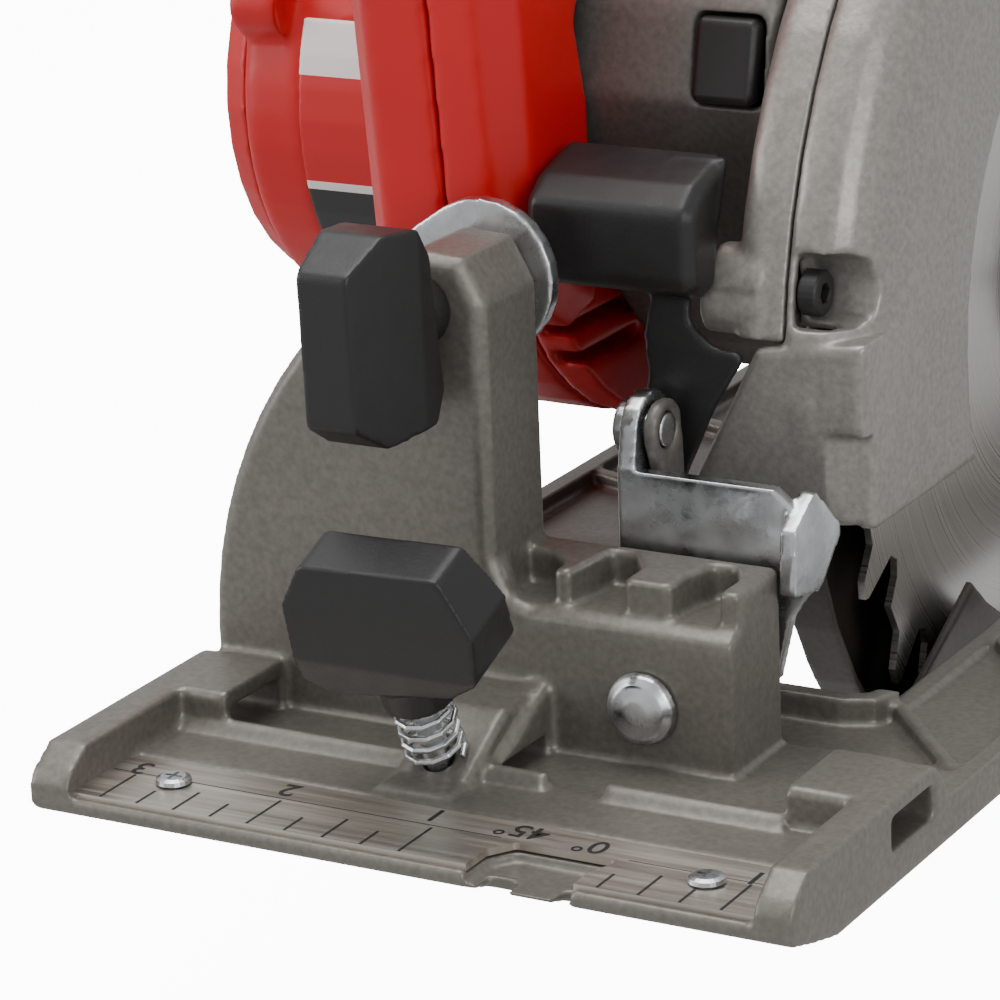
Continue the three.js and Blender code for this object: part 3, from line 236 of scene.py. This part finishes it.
# ---------------------------------------------------------------- CAD nodes: material and edge treatment
# name: (material, size of the surface grid in mm or None for crisp edges, smoothing passes)
LOOKS = {
    "shoe": (CAST, 0.6, 3),
    "scale_plate": (SCALE, None, 0),
    "scale_screw_left": (ZINC, None, 0),
    "scale_screw_right": (ZINC, None, 0),
    "fence_screw": (ZINC, 0.25, 2),
    "fence_knob": (BLACK, 0.35, 5),
    "fence_spring": (ZINC, 0.13, 2),
    "bevel_pivot_rivet": (ZINC, 0.25, 4),
    "rear_pivot_pin": (ZINC, 0.3, 3),
    "bevel_bolt": (ZINC, 0.25, 3),
    "bevel_knob": (BLACK, 0.35, 5),
    "bevel_bracket": (ZINC, 0.4, 3),
    "rear_bracket": (ZINC, 0.4, 2),
    "depth_pivot_pin": (ZINC, 0.25, 3),
    "depth_bolt": (ZINC, 0.3, 2),
    "depth_lever": (BLACK_SMOOTH, 0.4, 4),
    "gear_case": (CASE, 0.7, 5),
    "upper_guard": (GUARD, 0.6, 5),
    "guard_cover": (GUARD, 0.6, 5),
    "guard_screw": (BLACK_SMOOTH, 0.2, 1),
    "lower_guard": (DARK, 0.5, 4),
    "lower_guard_lever": (BLACK, 0.45, 5),
    "lower_guard_spring": (ZINC, 0.25, 2),
    "saw_blade": (BLADE, None, 0),
    "arbor_shaft": (STEEL, 0.4, 3),
    "arbor_gear": (STEEL, None, 0),
    "inner_flange": (DARK, 0.4, 2),
    "outer_flange": (DARK, 0.35, 3),
    "blade_bolt": (ZINC, 0.3, 2),
    "arbor_bearing_inner": (STEEL, None, 0),
    "arbor_bearing_outer": (STEEL, None, 0),
    "motor_armature": (STEEL, None, 0),
    "motor_stator": (COPPER, None, 0),
    "motor_fan": (BLACK_SMOOTH, None, 0),
    "motor_bearing_front": (STEEL, None, 0),
    "motor_bearing_rear": (STEEL, None, 0),
    "housing_left": (RED, 0.8, 9),
    "housing_right": (RED, 0.8, 9),
    "motor_end_cap": (RED, 0.6, 5),
    "label_panel": (LABEL, 0.4, 3),
    "trigger": (BLACK_SMOOTH, 0.4, 4),
    "lock_off_button": (BLACK_SMOOTH, 0.35, 3),
    "spindle_lock_button": (BLACK, 0.35, 3),
    "battery_pack": (BLACK_SMOOTH, 0.8, 6),
    "battery_latch_left": (RED, 0.4, 4),
    "battery_latch_right": (RED, 0.4, 4),
}


EDGE_BEVEL = 0.00012
SHARP = math.radians(40)  # a corner sharper than this gets the bevel


def dress(node, material, grid, passes):
    node.data.materials.clear()
    node.data.materials.append(material)
    if grid is None:
        bevel = node.modifiers.new("edge", "BEVEL")
        bevel.width = EDGE_BEVEL
        bevel.segments = 1
        bevel.limit_method = "ANGLE"
        bevel.angle_limit = SHARP
        bevel.use_clamp_overlap = True
        return
    remesh = node.modifiers.new("skin", "REMESH")
    remesh.mode = "VOXEL"
    remesh.voxel_size = grid / 1000
    remesh.use_smooth_shade = True
    soften = node.modifiers.new("soften", "SMOOTH")
    soften.factor = 0.5
    soften.iterations = passes


for name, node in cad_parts.items():
    dress(node, *LOOKS[name])

# ---------------------------------------------------------------- marks on the scale
def new_object(name, mesh, material, body):
    made = bpy.data.objects.new(name, mesh)
    bpy.context.scene.collection.objects.link(made)
    mesh.materials.append(material)
    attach(made, body)


def box(shape, low, high):
    """Adds an axis-aligned box, in mm from the scale's front edge."""
    low, high = at(*low), at(*high)
    size = high - low
    matrix = Matrix.Translation((low + high) / 2) @ Matrix.Diagonal((*size, 1))
    bmesh.ops.create_cube(shape, size=1, matrix=matrix)


NUMBER_SIZE = 0.006
QUARTER_INCH = 6.35
MARK_HALF_WIDTH = 0.22
MARK_START = 0.3
BASELINE = 10.4  # thin line behind the marks
BASELINE_WIDTH = 0.16
NOTCH_LEFT, NOTCH_RIGHT = -24, 5  # no marks where the front edge is cut back


def mark_length(k):
    """Length of the mark k quarter inches from the blade line: inches are longest, then halves."""
    if k % 4 == 0:
        return 9.7
    return 7.5 if k % 2 == 0 else 5.4


def scale_marks():
    shape = bmesh.new()
    buried = SCALE_TOP - 0.05
    for k in range(-12, 5):
        x = QUARTER_INCH * k
        if NOTCH_LEFT < x < NOTCH_RIGHT:
            continue
        near = (x - MARK_HALF_WIDTH, MARK_START, buried)
        far = (x + MARK_HALF_WIDTH, mark_length(k), SCALE_TOP + 0.04)
        box(shape, near, far)
    for left, right in [(PLATE_LOW.x + 0.5, -14.5), (6, PLATE_HIGH.x - 0.4)]:
        box(shape, (left, BASELINE, buried), (right, BASELINE + BASELINE_WIDTH, SCALE_TOP + 0.03))
    mesh = bpy.data.meshes.new("scale_marks")
    shape.to_mesh(mesh)
    shape.free()
    new_object("scale_marks", mesh, MARKS, "shoe")


def scale_number(name, text, x, y):
    letters = bpy.data.curves.new(name, "FONT")
    letters.body = text
    letters.size = NUMBER_SIZE
    letters.align_x = "CENTER"
    letters.align_y = "CENTER"
    letters.extrude = 0.00003
    letters.offset = 0.00004
    made = bpy.data.objects.new(name, letters)
    bpy.context.scene.collection.objects.link(made)
    made.location = at(x, y, SCALE_TOP + 0.02)
    made.rotation_euler = (0, 0, math.pi)
    letters.materials.append(MARKS)
    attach(made, "shoe")


scale_marks()
# name of the piece, number, and its centre on the plate
for name, text, x, y in [
    ("number_3", "3", -76.7, 12.4), ("number_2", "2", -51.8, 13.8), ("number_1", "1", -27.1, 14.1),
    ("number_45", "45°", -12.8, 13.9), ("number_0", "0°", -1.2, 13.0), ("number_right_1", "1", 25.0, 12.2),
]:
    scale_number(name, text, x, y)


# ---------------------------------------------------------------- studio
FLOOR_COLOUR = (0.95, 0.95, 0.95)
FLOOR_GLOW = 12.0
FLOOR_GAP = 0.0005  # under the lowest part of the guard


def floor_material():
    made = Shader("floor", FLOOR_COLOUR, 0.0, 0.9)
    made.surface.inputs["Emission Color"].default_value = (*FLOOR_COLOUR, 1)
    made.surface.inputs["Emission Strength"].default_value = FLOOR_GLOW
    return made.tint(made.noise(2, 2), 0.995, 1.0).material


def floor():
    """A white floor that the saw is seen against. It throws no light on the saw."""
    mesh = bpy.data.meshes.new("floor")
    low = CAD_LOW.z - FLOOR_GAP
    mesh.from_pydata([(-6, -3, low), (6, -3, low), (6, 12, low), (-6, 12, low)], [], [(0, 1, 2, 3)])
    made = bpy.data.objects.new("floor", mesh)
    bpy.context.scene.collection.objects.link(made)
    mesh.materials.append(floor_material())
    made.visible_diffuse = False
    made.visible_glossy = False


def area_light(name, place, target, size, power):
    lamp = bpy.data.lights.new(name, "AREA")
    lamp.shape = "RECTANGLE"
    lamp.size, lamp.size_y = size
    lamp.energy = power
    made = bpy.data.objects.new(name, lamp)
    made.location = place
    made.rotation_mode = "QUATERNION"
    made.rotation_quaternion = (Vector(target) - Vector(place)).to_track_quat("-Z", "Y")
    bpy.context.scene.collection.objects.link(made)


def studio():
    floor()
    world = bpy.data.worlds.new("studio")
    bpy.context.scene.world = world
    world.use_nodes = True
    world.node_tree.nodes["Background"].inputs["Color"].default_value = (1, 1, 1, 1)
    world.node_tree.nodes["Background"].inputs["Strength"].default_value = 0.68
    centre = (0, 0.06, 0.06)
    area_light("overhead", (-0.15, 0.05, 0.9), centre, (0.7, 0.7), 7)
    area_light("left", (-0.9, -0.45, 0.35), centre, (0.5, 0.7), 4)
    area_light("right", (0.9, -0.5, 0.45), centre, (0.35, 0.6), 3.4)


CAMERA_PLACE = at(278.053, -489.662, 246.426)
CAMERA_LENS = 158.9
CAMERA_AZIMUTH = 30.1394  # degrees round from the saw's nose towards the blade side
CAMERA_ELEVATION = 18.0807
CAMERA_ROLL = -2.4081


def camera():
    lens = bpy.data.cameras.new("camera")
    lens.sensor_width = 36
    lens.lens = CAMERA_LENS
    made = bpy.data.objects.new("camera", lens)
    bpy.context.scene.collection.objects.link(made)
    bpy.context.scene.camera = made
    azimuth, elevation, roll = map(math.radians, (CAMERA_AZIMUTH, CAMERA_ELEVATION, CAMERA_ROLL))
    across = math.cos(elevation)
    back = Vector((math.sin(azimuth) * across, -math.cos(azimuth) * across, math.sin(elevation)))
    level = Vector((math.cos(azimuth), math.sin(azimuth), 0))
    rise = back.cross(level)
    right = level * math.cos(roll) + rise * math.sin(roll)
    up = rise * math.cos(roll) - level * math.sin(roll)
    turned = Matrix((right, up, back)).transposed().to_4x4()
    made.matrix_world = Matrix.Translation(CAMERA_PLACE) @ turned


studio()
camera()
